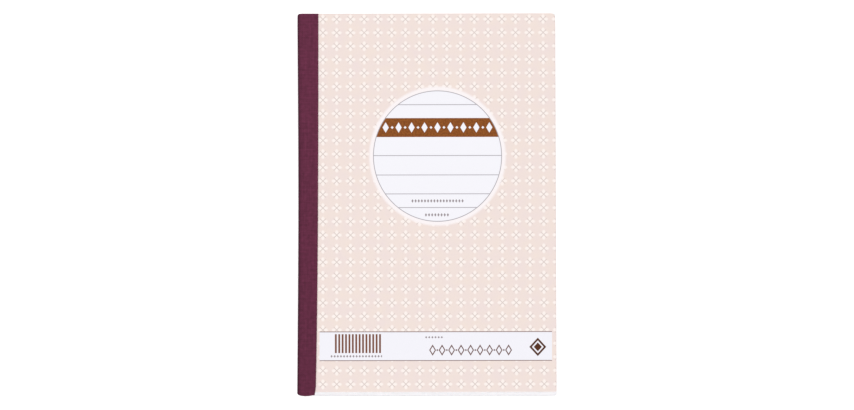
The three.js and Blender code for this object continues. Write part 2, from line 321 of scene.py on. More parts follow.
# The white label: an oval with a thin outline, rules across it, and a brown band
def labelLayers(tree, place, x, y):
    look = coverPrint
    depth = ovalDepth(tree, x, y, look["labelMiddle"], look["labelRadii"])
    label = addNode(tree, "ShaderNodeMath", {0: depth, 1: 1 / inkSoftness, 2: 0.5},
                    operation="MULTIPLY_ADD", use_clamp=True)
    whiteReach, haloEnd = look["haloReach"]
    halo = addNode(tree, "ShaderNodeMapRange", {0: depth, 1: -haloEnd, 2: -whiteReach})
    bandBox = boxMask(tree, x, y, pageSpanX, look["band"])
    band = addNode(tree, "ShaderNodeMath", {0: bandBox, 1: label}, operation="MULTIPLY")
    grainMm, (light, heavy), grainInk = look["bandGrain"]
    grain = addNode(tree, "ShaderNodeTexNoise",
                    {"Vector": place, "Scale": 1 / grainMm, "Detail": 2.0})
    heaviness = addNode(tree, "ShaderNodeMapRange", {0: grain.outputs[0], 1: light, 2: heavy})
    bandGrain = addNode(tree, "ShaderNodeMath", {0: band, 1: heaviness}, operation="MULTIPLY")
    layers = [(halo, look["haloWhite"]), (label, look["labelWhite"]), (band, look["bandInk"]),
              (bandGrain, grainInk)]
    marksY, marksPitch, marksBeside = look["bandMarks"]
    for mark in lozengeChain(tree, x, y, (look["labelMiddle"][0], marksY), marksPitch,
                             marksBeside, *look["bandLozenges"]):
        layers.append((mark, look["labelWhite"]))
    half = look["outlinePen"] / 2
    for height in look["rules"]:
        rule = boxMask(tree, x, y, pageSpanX, (height - half, height + half))
        kept = addNode(tree, "ShaderNodeMath", {0: rule, 1: label}, operation="MULTIPLY")
        layers.append((kept, look["outlineInk"]))
    outline = addNode(tree, "ShaderNodeGroup", {0: depth, 1: 0.0, 2: half}, node_tree=spanGroup)
    return layers + [(outline, look["outlineInk"])]


# The white strip near the foot, between two lines, with plain ornaments
def stripLayers(tree, x, y):
    look = coverPrint
    stripX, stripY = look["strip"]
    half = look["stripPen"] / 2
    layers = [(boxMask(tree, x, y, stripX, stripY), look["stripWhite"])]
    for edge in stripY:
        line = boxMask(tree, x, y, stripX, (edge - half, edge + half))
        layers.append((line, look["stripInk"]))
    barsX, barsY, barPitch = look["bars"]
    barHalf = barPitch * look["barShare"]
    barX = repeated(tree, x, barsX[0] + barPitch / 2, barPitch)
    bar = boxMask(tree, barX, y, (-barHalf, barHalf), barsY)
    barRoom = boxMask(tree, x, y, barsX, barsY)
    bars = addNode(tree, "ShaderNodeMath", {0: bar, 1: barRoom}, operation="MULTIPLY")
    layers.append((bars, look["barInk"]))
    chainX, chainY, chainPitch, chainBeside = look["chain"]
    for halves, smallHalf, ink in look["chainLozenges"]:
        for mark in lozengeChain(tree, x, y, (chainX, chainY), chainPitch, chainBeside, halves,
                                 smallHalf):
            layers.append((mark, ink))
    badgeX, badgeY, badgeHalfX, badgeHalfY = look["badge"]
    inBadgeX = addNode(tree, "ShaderNodeMath", {0: x, 1: badgeX}, operation="SUBTRACT")
    inBadgeY = addNode(tree, "ShaderNodeMath", {0: y, 1: badgeY}, operation="SUBTRACT")
    for share, ink in look["badgeRings"]:
        ring = lozengeMask(tree, inBadgeX, inBadgeY, badgeHalfX * share, badgeHalfY * share)
        layers.append((ring, ink))
    return layers


def makeCoverCard():
    look = coverPrint
    material, tree, shader = newMaterial("printedCoverCard", Roughness=0.55,
                                         Specular_IOR_Level=0.15)
    place, x, y = pagePlace(tree)
    ground, bump = stockSurface(tree, place, look["groundPale"], look["groundDeep"],
                                cloudMm=9, fibreMm=0.5, fibreDepthMm=0.01)
    printedSide = boxMask(tree, x, y, pageSpanX, pageSpanY)
    unprinted = addNode(tree, "ShaderNodeMath", {0: 1.0, 1: printedSide}, operation="SUBTRACT")
    layers = [(unprinted, look["insideWhite"])]
    layers += rosetteLayers(tree, x, y, printedSide)
    layers += labelLayers(tree, place, x, y)
    layers += stripLayers(tree, x, y)
    for span, height, dotTall in look["dotted"]:
        row = dottedRow(tree, x, y, span, height, span[0] + look["firstDot"], look["dotPitch"],
                        (look["dotHalf"], dotTall))
        layers.append((row, look["dottedInk"]))
    # Painted shade darkens the card along its fore edge and its head
    edgeShadeTint, edgeShadeWidth, edgeShadeStrength = look["edgeShade"]
    edgeShades = []
    for along, edge in ((x, foreX / mm), (y, headY / mm)):
        toEdge = addNode(tree, "ShaderNodeMath", {0: edge, 1: along}, operation="SUBTRACT")
        edgeShades.append(addNode(tree, "ShaderNodeMapRange",
                            {0: toEdge, 2: edgeShadeWidth, 3: edgeShadeStrength, 4: 0.0}))
    edgeShade = addNode(tree, "ShaderNodeMath", {0: edgeShades[0], 1: edgeShades[1]}, operation="MAXIMUM")
    layers.append((edgeShade, edgeShadeTint))
    connectShader(tree, shader, paintLayers(tree, ground, layers), bump)
    return material


# Carbonless paper, uncoated to the eye: matt, faintly cloudy, with a form printed in one ink
leafPrint = {
    "head": ((-50.0, 8.0), (68.0, 96.0)),
    "box": ((18.0, 63.0), (74.0, 96.0)),
    "table": ((-50.0, 63.0), (-72.0, 60.0)),
    "rowPitch": 8.25,
    "columns": (-33.0, 17.0, 30.0, 46.0),
    "totals": ((30.0, 63.0), (-93.0, -72.0)),
    "sign": ((-50.0, 8.0), (-93.0, -78.0)),
    "pen": 0.3,
    "finePen": 0.2,
    "tint": 0.22,
    "dotRows": (75.5, 82.0, 88.5),
    "dotSpan": (-47.5, 5.5),
    "firstDot": -48.0,
    "dotPitch": 1.6,
    "dotHalves": (0.4, 0.4),
    "dotMargin": 0.1,
    # Cut edges show the leaves as faint lines: spacing, length and the range of their tone. The
    # real ones, 0.07 mm apart, are too fine to show, so these are coarser.
    "edgeLines": (1.1, 70.0, (0.93, 1.04)),
    "edgeNoise": (0.32, 0.68),  # the part of the noise that the tones are spread over
}
# Each copy's paper: its name, its pale and deep tone, and its ink
copyLooks = (
    ("carbonlessTopCopyPaper", "f8f8f8", "f4f4f5", "5f6f96"),
    ("carbonlessSecondCopyPaper", "f9eaec", "f6e5e8", "8c6078"),
    ("carbonlessThirdCopyPaper", "e6f0f3", "e0ebf1", "566c96"),
)


# The form's masks: a tinted table head, frames, ruled rows and columns, and dotted lines
def formMasks(tree, x, y):
    look = leafPrint
    half, fineHalf = look["pen"] / 2, look["finePen"] / 2
    tableX, (tableLow, tableHigh) = look["table"]
    (totalsLeft, _), (totalsLow, _) = look["totals"]
    headRow = boxMask(tree, x, y, tableX, (tableHigh - look["rowPitch"], tableHigh))
    masks = [addNode(tree, "ShaderNodeMath", {0: headRow, 1: look["tint"]}, operation="MULTIPLY")]
    for key in ("head", "box", "table", "totals", "sign"):
        masks.append(frameMask(tree, x, y, *look[key], look["pen"]))
    rowY = repeated(tree, y, tableLow, look["rowPitch"])
    rows = boxMask(tree, x, rowY, tableX, (-fineHalf, fineHalf))
    rowRoom = boxMask(tree, x, y, tableX, (totalsLow, tableHigh))
    inTotals = boxMask(tree, x, y, (totalsLeft, pageSpanX[1]), (pageSpanY[0], tableLow))
    inTable = boxMask(tree, x, y, pageSpanX, (tableLow, tableHigh))
    ruled = addNode(tree, "ShaderNodeMath", {0: inTotals, 1: inTable}, operation="MAXIMUM")
    for room in (rowRoom, ruled):
        rows = addNode(tree, "ShaderNodeMath", {0: rows, 1: room}, operation="MULTIPLY")
    masks.append(rows)
    for column in look["columns"]:
        low = totalsLow if column > totalsLeft else tableLow
        masks.append(boxMask(tree, x, y, (column - half, column + half), (low, tableHigh)))
    for height in look["dotRows"]:
        masks.append(dottedRow(tree, x, y, look["dotSpan"], height, look["firstDot"],
                               look["dotPitch"], look["dotHalves"], look["dotMargin"]))
    return masks


def makeLeafPaper(name, pale, deep, ink):
    look = leafPrint
    material, tree, shader = newMaterial(name, Roughness=0.85, Specular_IOR_Level=0.2)
    place, x, y = pagePlace(tree)
    ground, bump = stockSurface(tree, place, pale, deep, cloudMm=14, fibreMm=0.4,
                                fibreDepthMm=0.012)
    paint = paintLayers(tree, ground, [(mask, ink) for mask in formMasks(tree, x, y)])
    lineMm, lineLengthMm, (darkest, palest) = look["edgeLines"]
    noiseLow, noiseHigh = look["edgeNoise"]
    solid = addNode(tree, "ShaderNodeTexCoord").outputs["Object"]
    alongLeaf = 1 / (lineLengthMm * mm)
    drawn = addNode(tree, "ShaderNodeMapping",
                    {"Vector": solid, "Scale": (alongLeaf, alongLeaf, 1 / (lineMm * mm))})
    lines = addNode(tree, "ShaderNodeTexNoise", {"Vector": drawn, "Scale": 1.0, "Detail": 3.0})
    lineTone = addNode(tree, "ShaderNodeMapRange",
                       {0: lines.outputs[0], 1: noiseLow, 2: noiseHigh, 3: darkest, 4: palest})
    connectShader(tree, shader, tonedAtCutEdges(tree, x, paint, lineTone), bump)
    return material


# Book cloth, plain woven cotton with a matt filler: dull, a fine grid of threads, a faint bloom
clothLook = {
    "pale": "75324f",
    "deep": "531d34",
    "paintedHeadLight": 0.2,  # painted light: how much paler the head is than the foot
    "threadMm": 0.55,  # coarser than the real 0.4, so that the weave shows
    "threadContrast": 0.36,
    "mottleMm": 1.8,
    "slub": (0.9, 14.0, 0.5),  # thick threads: width, length, contrast
    "threadDepthMm": 0.03,
    # painted shade: the tone that the folds are darkened to
    "foldShadeTone": 0.52,
}


def makeBookCloth():
    look = clothLook
    material, tree, shader = newMaterial("wovenBookCloth", Roughness=0.78, Specular_IOR_Level=0.15,
                                         Sheen_Weight=0.04, Sheen_Roughness=0.6)
    place, x, y = pagePlace(tree)
    mottle = addNode(tree, "ShaderNodeTexNoise",
                     {"Vector": place, "Scale": 1 / look["mottleMm"], "Detail": 4.0})
    # Painted light: the cloth is painted paler towards the head
    lightTowardsHead = addNode(tree, "ShaderNodeMapRange",
                    {0: y, 1: footY / mm, 2: headY / mm, 3: -look["paintedHeadLight"] / 2, 4: look["paintedHeadLight"] / 2})
    share = addNode(tree, "ShaderNodeMath", {0: mottle.outputs[0], 1: lightTowardsHead}, operation="ADD")
    tone = addNode(tree, "ShaderNodeMix",
                   {0: share, 6: linearColour(look["deep"]), 7: linearColour(look["pale"])},
                   data_type="RGBA")
    turn = 2 * math.pi / look["threadMm"]
    waves = []
    for along, other in ((x, y), (y, x)):
        # a thread rises over every second one that crosses it
        phase = addNode(tree, "ShaderNodeMath", {0: along, 1: turn}, operation="MULTIPLY")
        ridge = addNode(tree, "ShaderNodeMath", {0: phase}, operation="SINE")
        crossing = addNode(tree, "ShaderNodeMath", {0: other, 1: turn / 2}, operation="MULTIPLY")
        over = addNode(tree, "ShaderNodeMath", {0: crossing}, operation="COSINE")
        waves.append(addNode(tree, "ShaderNodeMath", {0: ridge, 1: over}, operation="MULTIPLY"))
    weave = addNode(tree, "ShaderNodeMath", {0: waves[0], 1: waves[1]}, operation="MAXIMUM")
    slubWidth, slubLength, slubContrast = look["slub"]
    slubs = []
    for scale in ((1 / slubWidth, 1 / slubLength, 1), (1 / slubLength, 1 / slubWidth, 1)):
        drawn = addNode(tree, "ShaderNodeMapping", {"Vector": place, "Scale": scale})
        slubs.append(addNode(tree, "ShaderNodeTexNoise",
                             {"Vector": drawn, "Scale": 1.0, "Detail": 2.0}).outputs[0])
    slub = addNode(tree, "ShaderNodeMath", {0: slubs[0], 1: slubs[1]}, operation="ADD")
    height = addNode(tree, "ShaderNodeMath", {0: weave, 1: slub}, operation="ADD")
    woven = addNode(tree, "ShaderNodeMath",
                    {0: weave, 1: look["threadContrast"], 2: 1 - look["threadContrast"] / 2},
                    operation="MULTIPLY_ADD")
    shade = addNode(tree, "ShaderNodeMath", {0: slub, 1: slubContrast, 2: -slubContrast},
                    operation="MULTIPLY_ADD")
    shade = addNode(tree, "ShaderNodeMath", {0: shade, 1: woven}, operation="ADD")
    # Painted shade along the folds, where the cloth turns away from the light
    paintedFoldShade = addNode(tree, "ShaderNodeAttribute", attribute_name=foldShadeMap)
    foldShadeTone = addNode(tree, "ShaderNodeMapRange",
                          {0: paintedFoldShade.outputs["Fac"], 3: 1.0, 4: look["foldShadeTone"]})
    shade = addNode(tree, "ShaderNodeMath", {0: shade, 1: foldShadeTone}, operation="MULTIPLY")
    shaded = addNode(tree, "ShaderNodeVectorMath", {0: tone, 1: shade}, operation="MULTIPLY")
    bump = addNode(tree, "ShaderNodeBump", {
        "Strength": 0.6, "Distance": look["threadDepthMm"] * mm, "Height": height})
    connectShader(tree, shader, shaded, bump)
    return material


# Recycled board and manila card, pressed from waste fibre: matt, cloudy, with dark specks. The
# board's cut edges carry painted light: they are painted paler than its faces.
boardLooks = {
    "recycledGreyBoard": {"pale": "c4c4c4", "deep": "b7b6b5", "speck": "93908c", "speckMm": 2.2,
                          "paintedCutEdgeLight": 1.55},
    "manilaCard": {"pale": "d8ccb2", "deep": "cdbfa2", "speck": "a8946c", "speckMm": 3.0,
                   "paintedCutEdgeLight": 1.0},
}
speckLook = {"edge": 0.16, "core": 0.08, "strength": 0.55}  # distances as shares of the spacing


def makeBoard(name):
    look = boardLooks[name]
    material, tree, shader = newMaterial(name, Roughness=0.9, Specular_IOR_Level=0.2)
    place, x, y = pagePlace(tree)
    ground, bump = stockSurface(tree, place, look["pale"], look["deep"], cloudMm=5, fibreMm=0.6,
                                fibreDepthMm=0.03)
    fleck = addNode(tree, "ShaderNodeTexVoronoi", {"Vector": place, "Scale": 1 / look["speckMm"]})
    mask = addNode(tree, "ShaderNodeMapRange",
                   {0: fleck.outputs["Distance"], 1: speckLook["edge"], 2: speckLook["core"],
                    3: 0.0, 4: speckLook["strength"]})
    paint = paintLayers(tree, ground, [(mask, look["speck"])])
    # Painted light: the grey board's cut edges are painted paler
    connectShader(tree, shader, tonedAtCutEdges(tree, x, paint, look["paintedCutEdgeLight"]), bump)
    return material


# Padding glue, dried in a film: cream, slightly glossy, with brush marks along the spine
glueFinish = {"pale": "efe6cf", "deep": "dccfb0", "brushMm": (0.667, 8.33), "brushDepthMm": 0.04}


def makeGlue():
    look = glueFinish
    material, tree, shader = newMaterial("driedPaddingGlue", Roughness=0.4)
    place = addNode(tree, "ShaderNodeTexCoord").outputs["Object"]
    across, along = (1 / (size * mm) for size in look["brushMm"])
    brushed = addNode(tree, "ShaderNodeMapping", {"Vector": place, "Scale": (across, along, across)})
    marks = addNode(tree, "ShaderNodeTexNoise", {"Vector": brushed, "Scale": 1.0, "Detail": 3.0})
    tone = addNode(tree, "ShaderNodeMix",
                   {0: marks.outputs[0], 6: linearColour(look["pale"]),
                    7: linearColour(look["deep"])}, data_type="RGBA")
    bump = addNode(tree, "ShaderNodeBump",
                   {"Strength": 0.4, "Distance": look["brushDepthMm"] * mm,
                    "Height": marks.outputs[0]})
    connectShader(tree, shader, tone, bump)
    return material


# Galvanised stitching wire, drawn through a die: bright zinc with fine lengthwise streaks
wireFinish = {"pale": "cfd2d6", "deep": "a9adb2", "streakMm": 0.25, "roughness": (0.22, 0.45)}


def makeWire():
    look = wireFinish
    material, tree, shader = newMaterial("galvanisedStitchingWire", Metallic=1.0)
    place = addNode(tree, "ShaderNodeTexCoord").outputs["Object"]
    streaks = addNode(tree, "ShaderNodeTexNoise",
                      {"Vector": place, "Scale": 1 / (look["streakMm"] * mm), "Detail": 3.0})
    tone = addNode(tree, "ShaderNodeMix",
                   {0: streaks.outputs[0], 6: linearColour(look["pale"]),
                    7: linearColour(look["deep"])}, data_type="RGBA")
    smoothest, roughest = look["roughness"]
    rough = addNode(tree, "ShaderNodeMapRange", {0: streaks.outputs[0], 3: smoothest, 4: roughest})
    tree.links.new(shownOutput(tone), shader.inputs["Base Color"])
    tree.links.new(rough.outputs[0], shader.inputs["Roughness"])
    return material


coverCard = makeCoverCard()
leafPapers = [makeLeafPaper(*look) for look in copyLooks]
bookCloth = makeBookCloth()
greyBoard = makeBoard("recycledGreyBoard")
manilaCard = makeBoard("manilaCard")
dryGlue = makeGlue()
stitchWire = makeWire()
print("materials made")


def addObject(name, mesh, *surfaces):
    piece = bpy.data.objects.new(name, mesh)
    bpy.context.scene.collection.objects.link(piece)
    for surface in surfaces:
        mesh.materials.append(surface)
    return piece


def finishMesh(mesh, sharpDegrees=35):
    mesh.validate()
    mesh.shade_smooth()
    mesh.set_sharp_from_angle(angle=math.radians(sharpDegrees))


# A closed sheet of paper, card or board, with one column of points at each place across the
# page, and its edges eased. The top carries the print.
def sheetMesh(name, stations, lowY, highY, bottomZ, topZ, ease=0.0):
    insets = [(0, ease), (ease, 0)] if ease else [(0, 0)]
    rows = [(lowY, 1, inset, drop) for inset, drop in insets]
    rows += [(highY, -1, inset, drop) for inset, drop in reversed(insets)]
    lastColumn, lastRow = len(stations) - 1, len(rows) - 1
    points = []
    for side in (1, -1):
        for i, x in enumerate(stations):
            for edge, inwards, inset, drop in rows:
                fall = ease if i in (0, lastColumn) else drop
                z = topZ(x) - fall if side > 0 else bottomZ(x) + fall
                points.append((x, edge(x) + inwards * inset, z))
    half = len(stations) * len(rows)

    def at(i, j, below=0):
        return below * half + i * len(rows) + j

    top, underside, cutEdge = 0, 1, 2
    faces, kinds = [], []
    for i in range(lastColumn):
        for j in range(lastRow):
            faces.append((at(i, j), at(i + 1, j), at(i + 1, j + 1), at(i, j + 1)))
            kinds.append(top)
            faces.append((at(i, j, 1), at(i, j + 1, 1), at(i + 1, j + 1, 1), at(i + 1, j, 1)))
            kinds.append(underside)
        faces.append((at(i, 0, 1), at(i + 1, 0, 1), at(i + 1, 0), at(i, 0)))
        faces.append((at(i, lastRow), at(i + 1, lastRow), at(i + 1, lastRow, 1),
                      at(i, lastRow, 1)))
        kinds += [cutEdge, cutEdge]
    for j in range(lastRow):
        faces.append((at(0, j + 1, 1), at(0, j, 1), at(0, j), at(0, j + 1)))
        faces.append((at(lastColumn, j, 1), at(lastColumn, j + 1, 1), at(lastColumn, j + 1),
                      at(lastColumn, j)))
        kinds += [cutEdge, cutEdge]
    mesh = bpy.data.meshes.new(name)
    mesh.from_pydata(points, [], faces)
    layer = mesh.uv_layers.new(name=printMap)
    for polygon, kind in zip(mesh.polygons, kinds):
        for corner, vertex in zip(polygon.loop_indices, polygon.vertices):
            x, y, z = mesh.vertices[vertex].co
            layer.data[corner].uv = (x / mm + kind * asideMm, y / mm)
    finishMesh(mesh)
    return mesh


def creaseStations(fromX, length, steps):
    return [fromX + length * i / steps for i in range(steps + 1)]


# Places across a rounded corner that ends at an edge, growing towards it.
def cornerStations(edgeX, radius, steps, towards=1):
    turns = [i * math.pi / 2 / steps for i in range(steps + 1)]
    places = [edgeX - towards * radius * (1 - math.sin(turn)) for turn in turns]
    return places if towards > 0 else places[::-1]


# Where a straight edge at the given height runs once its corner is rounded.
def roundedEdge(level, inwards, cornerX, radius):
    def edge(x):
        past = abs(x - cornerX) if (x - cornerX) * radius[1] > 0 else 0
        past = min(past, radius[0])
        return level + inwards * (radius[0] - math.sqrt(radius[0] ** 2 - past ** 2))
    return edge


# Turns a modifier's result into the piece's own plain mesh.
def settle(piece):
    bpy.context.view_layer.update()
    depsgraph = bpy.context.evaluated_depsgraph_get()
    mesh = bpy.data.meshes.new_from_object(piece.evaluated_get(depsgraph),
                                           preserve_all_data_layers=True, depsgraph=depsgraph)
    piece.modifiers.clear()
    piece.data = mesh


def setInputs(piece, tree, values):
    modifier = piece.modifiers.new(tree.name, "NODES")
    modifier.node_group = tree
    identifiers = {item.name: item.identifier for item in tree.interface.items_tree
                   if item.item_type == "SOCKET" and item.in_out == "INPUT"}
    for name, value in values.items():
        modifier[identifiers[name]] = value
    piece.update_tag()


spineCorner = {"radius": 1.6 * mm, "steps": 5}  # both ends of the spine are knocked round
spineStations = cornerStations(leafSpineX, spineCorner["radius"], spineCorner["steps"], -1)


# The head or foot edge of a cover or a leaf, round at the spine and, with a radius, at the
# fore edge.
def endEdge(level, inwards, foreRadius=0):
    spineRadius = spineCorner["radius"]
    left = roundedEdge(level, inwards, leafSpineX + spineRadius, (spineRadius, -1))
    if not foreRadius:
        return left
    right = roundedEdge(level, inwards, foreX - foreRadius, (foreRadius, 1))
    return lambda x: left(x) if x < foldX else right(x)


# Front cover: one card from under the cloth to the fore edge, bent beside the cloth when it opens
frontCover = {
    "creaseLength": 3.5 * mm,
    "creaseSteps": 14,
    "headCorner": (2.6 * mm, 6),  # radius and steps
    "footCorner": (0.5 * mm, 3),
    "edgeEase": 0.06 * mm,
}
headCorner, footCorner = frontCover["headCorner"], frontCover["footCorner"]
foreCorners = cornerStations(foreX, *headCorner)[:-1] + cornerStations(foreX, *footCorner)
stations = spineStations + creaseStations(foldX, frontCover["creaseLength"],
                                          frontCover["creaseSteps"]) + sorted(foreCorners)
coverZ = (coverPanel[0].z, coverPanel[1].z)
coverMesh = sheetMesh(
    "front_cover_card", stations, endEdge(footY, 1, footCorner[0]),
    endEdge(headY, -1, headCorner[0]), lambda x: coverZ[0], lambda x: coverZ[1],
    frontCover["edgeEase"])
coverPiece = addObject("front_cover_card", coverMesh, coverCard)
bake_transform(coverPiece)
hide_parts("front_cover", "front_cover_margin")
print("front cover made")

# Back cover: grey board. Beside the cloth it steps down to the level of the cloth's underside
backCover = {
    "stepStart": 1.2 * mm,
    "stepSteps": 5,
    "creaseLength": 3.5 * mm,
    "creaseSteps": 12,
    "cornerRadius": 0.8 * mm,
    "cornerSteps": 4,
    "edgeEase": 0.08 * mm,
}
boardPanel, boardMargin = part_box("back_cover"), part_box("back_cover_margin")
boardDrop = boardMargin[0].z - boardPanel[0].z
stepX = foldX - backCover["stepStart"]


def boardLift(x):
    t = min(max((x - stepX) / backCover["stepStart"], 0), 1)
    return boardDrop * (1 - t * t * (3 - 2 * t))


stations = spineStations + creaseStations(stepX, backCover["stepStart"], backCover["stepSteps"])
stations += creaseStations(foldX, backCover["creaseLength"], backCover["creaseSteps"])[1:]
boardRadius = backCover["cornerRadius"]
stations += cornerStations(foreX, boardRadius, backCover["cornerSteps"])
boardMesh = sheetMesh(
    "back_cover_board", stations, endEdge(footY, 1, boardRadius), endEdge(headY, -1, boardRadius),
    lambda x: boardPanel[0].z + boardLift(x), lambda x: boardPanel[1].z + boardLift(x),
    backCover["edgeEase"])
boardPiece = addObject("back_cover_board", boardMesh, greyBoard)
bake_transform(boardPiece)
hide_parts("back_cover", "back_cover_margin")
print("back cover made")

# Writing shield: a loose manila card with round corners
shieldLook = {"cornerRadius": 4 * mm, "cornerSteps": 8, "edgeEase": 0.05 * mm}
shieldLow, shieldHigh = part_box("writing_shield")
shieldRadius = shieldLook["cornerRadius"]
leftStations = cornerStations(shieldLow.x, shieldRadius, shieldLook["cornerSteps"], -1)
rightStations = cornerStations(shieldHigh.x, shieldRadius, shieldLook["cornerSteps"])


def shieldEdge(level, inwards):
    left = roundedEdge(level, inwards, shieldLow.x + shieldRadius, (shieldRadius, -1))
    right = roundedEdge(level, inwards, shieldHigh.x - shieldRadius, (shieldRadius, 1))
    return lambda x: left(x) if x < 0 else right(x)


shieldMesh = sheetMesh(
    "writing_shield_card", leftStations + rightStations, shieldEdge(shieldLow.y, 1),
    shieldEdge(shieldHigh.y, -1), lambda x: shieldLow.z, lambda x: shieldHigh.z,
    shieldLook["edgeEase"])
shieldPiece = addObject("writing_shield_card", shieldMesh, manilaCard)
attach(shieldPiece, "writing_shield")
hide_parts("writing_shield")
print("writing shield made")

# Leaves: each set is three sheets of carbonless paper, cut together and bound at the spine
leafLook = {
    "pitch": 0.07 * mm,
    "thickness": 0.064 * mm,
    "creaseLength": 3.3 * mm,
    "creaseSteps": 8,
    "cutJitter": 0.0008,  # share of the width by which the trimmed fore edges differ
    "slipJitter": 0.008 * mm,
    "tearGap": 0.1 * mm,  # between a stub and its sheet
    "tiePitch": 2.4 * mm,
    "tieSize": (0.09 * mm, 0.7 * mm, 0.0512 * mm),
}


# Leaves one above another. The input is one leaf with its spine edge at the origin; each is a
# little shorter or longer and slipped, and takes its copy's paper in turn.
def buildStackTree():
    tree, given = newTree("leafStack", "GeometryNodeTree", {
        "Leaf": "Geometry", "Leaf count": "Int", "Leaf pitch": "Float", "Spine edge": "Float",
        "Lowest leaf": "Float", "Cut jitter": "Float", "Slip jitter": "Float",
        "Lowest copy": "Int", "Seed": "Int"}, "Leaves", "Geometry")
    index = addNode(tree, "GeometryNodeInputIndex")
    rise = addNode(tree, "ShaderNodeMath", {0: index, 1: given["Leaf pitch"],
                                            2: given["Lowest leaf"]}, operation="MULTIPLY_ADD")
    backwards = addNode(tree, "ShaderNodeMath", {0: given["Slip jitter"], 1: -1.0},
                        operation="MULTIPLY")
    slip = addNode(tree, "FunctionNodeRandomValue",
                   {"Min": backwards, "Max": given["Slip jitter"], "Seed": given["Seed"]},
                   data_type="FLOAT")
    place = addNode(tree, "ShaderNodeCombineXYZ", {0: given["Spine edge"], 1: slip.outputs[1],
                                                   2: rise})
    points = addNode(tree, "GeometryNodePoints", {"Count": given["Leaf count"],
                                                  "Position": place})
    otherSeed = addNode(tree, "ShaderNodeMath", {0: given["Seed"], 1: 57.0}, operation="ADD")
    shorter = addNode(tree, "FunctionNodeRandomValue",
                      {"Min": 0.0, "Max": given["Cut jitter"], "Seed": otherSeed},
                      data_type="FLOAT")
    length = addNode(tree, "ShaderNodeMath", {0: 1.0, 1: shorter.outputs[1]},
                     operation="SUBTRACT")
    scale = addNode(tree, "ShaderNodeCombineXYZ", {0: length, 1: 1.0, 2: 1.0})
    leaves = addNode(tree, "GeometryNodeInstanceOnPoints",
                     {"Points": points, "Instance": given["Leaf"], "Scale": scale})
    order = addNode(tree, "ShaderNodeMath", {0: given["Lowest copy"], 1: index},
                    operation="SUBTRACT")
    copy = addNode(tree, "ShaderNodeMath", {0: order, 1: 3.0}, operation="FLOORED_MODULO")
    marked = addNode(tree, "GeometryNodeStoreNamedAttribute",
                     {"Geometry": leaves, "Name": "copy", "Value": copy},
                     data_type="FLOAT", domain="INSTANCE")
    shape = addNode(tree, "GeometryNodeRealizeInstances", {"Geometry": marked})
    for number, paper in enumerate(leafPapers):
        which = addNode(tree, "GeometryNodeInputNamedAttribute", {"Name": "copy"},
                        data_type="FLOAT")
        same = addNode(tree, "ShaderNodeMath", {0: which, 1: float(number), 2: 0.1},
                       operation="COMPARE")
        shape = addNode(tree, "GeometryNodeSetMaterial",
                        {"Geometry": shape, "Selection": same, "Material": paper})
    addNode(tree, "NodeGroupOutput", {0: shape})
    return tree


# The uncut ties of a perforation: small bridges at a pitch along the tear line.
def buildTieTree():
    tree, given = newTree("perforationTies", "GeometryNodeTree", {
        "Sheet": "Geometry", "Count": "Int", "Start": "Vector", "Step": "Vector",
        "Tie size": "Vector", "Paper": "Material"}, "Sheet", "Geometry")
    line = addNode(tree, "GeometryNodeMeshLine",
                   {"Count": given["Count"], "Start Location": given["Start"],
                    "Offset": given["Step"]}, mode="OFFSET")
    tie = addNode(tree, "GeometryNodeMeshCube", {"Size": given["Tie size"]})
    ties = addNode(tree, "GeometryNodeInstanceOnPoints", {"Points": line, "Instance": tie})
    shape = addNode(tree, "GeometryNodeRealizeInstances", {"Geometry": ties})
    mapped = addNode(tree, "GeometryNodeStoreNamedAttribute",
                     {"Geometry": shape, "Name": printMap, "Value": (asideMm, 0, 0)},
                     data_type="FLOAT2", domain="CORNER")
    papered = addNode(tree, "GeometryNodeSetMaterial",
                      {"Geometry": mapped, "Material": given["Paper"]})
    joined = addNode(tree, "GeometryNodeJoinGeometry", {"Geometry": papered})
    tree.links.new(given["Sheet"], joined.inputs[0])
    addNode(tree, "NodeGroupOutput", {0: joined})
    return tree


stackTree, tieTree = buildStackTree(), buildTieTree()


# A flat leaf from one place to another, moved so that its spine edge is at the origin.
def leafBlank(name, stations):
    mesh = sheetMesh(name, stations, endEdge(footY, 1), endEdge(headY, -1), lambda x: 0,
                     lambda x: leafLook["thickness"])
    mesh.transform(Matrix.Translation((-stations[0], 0, 0)))
    return mesh


def makeLeaves(name, blank, spineEdge, low, high, lowestCopy, seed):
    piece = addObject(name, blank.copy())
    count = max(1, round((high.z - low.z) / leafLook["pitch"]))
    air = (leafLook["pitch"] - leafLook["thickness"]) / 2
    setInputs(piece, stackTree, {
        "Leaf count": count, "Leaf pitch": leafLook["pitch"], "Spine edge": spineEdge,
        "Lowest leaf": low.z + air, "Cut jitter": leafLook["cutJitter"],
        "Slip jitter": leafLook["slipJitter"], "Lowest copy": lowestCopy, "Seed": seed})
    settle(piece)
    return piece


def addTies(sheet, tearX, low, high, paper):
    pitch = leafLook["tiePitch"]
    first = Vector((tearX - leafLook["tearGap"] / 2, footY + pitch / 2, (low.z + high.z) / 2))
    setInputs(sheet, tieTree, {
        "Count": int((headY - footY) / pitch), "Start": first, "Step": Vector((0, pitch, 0)),
        "Tie size": Vector(leafLook["tieSize"]), "Paper": paper})
    settle(sheet)


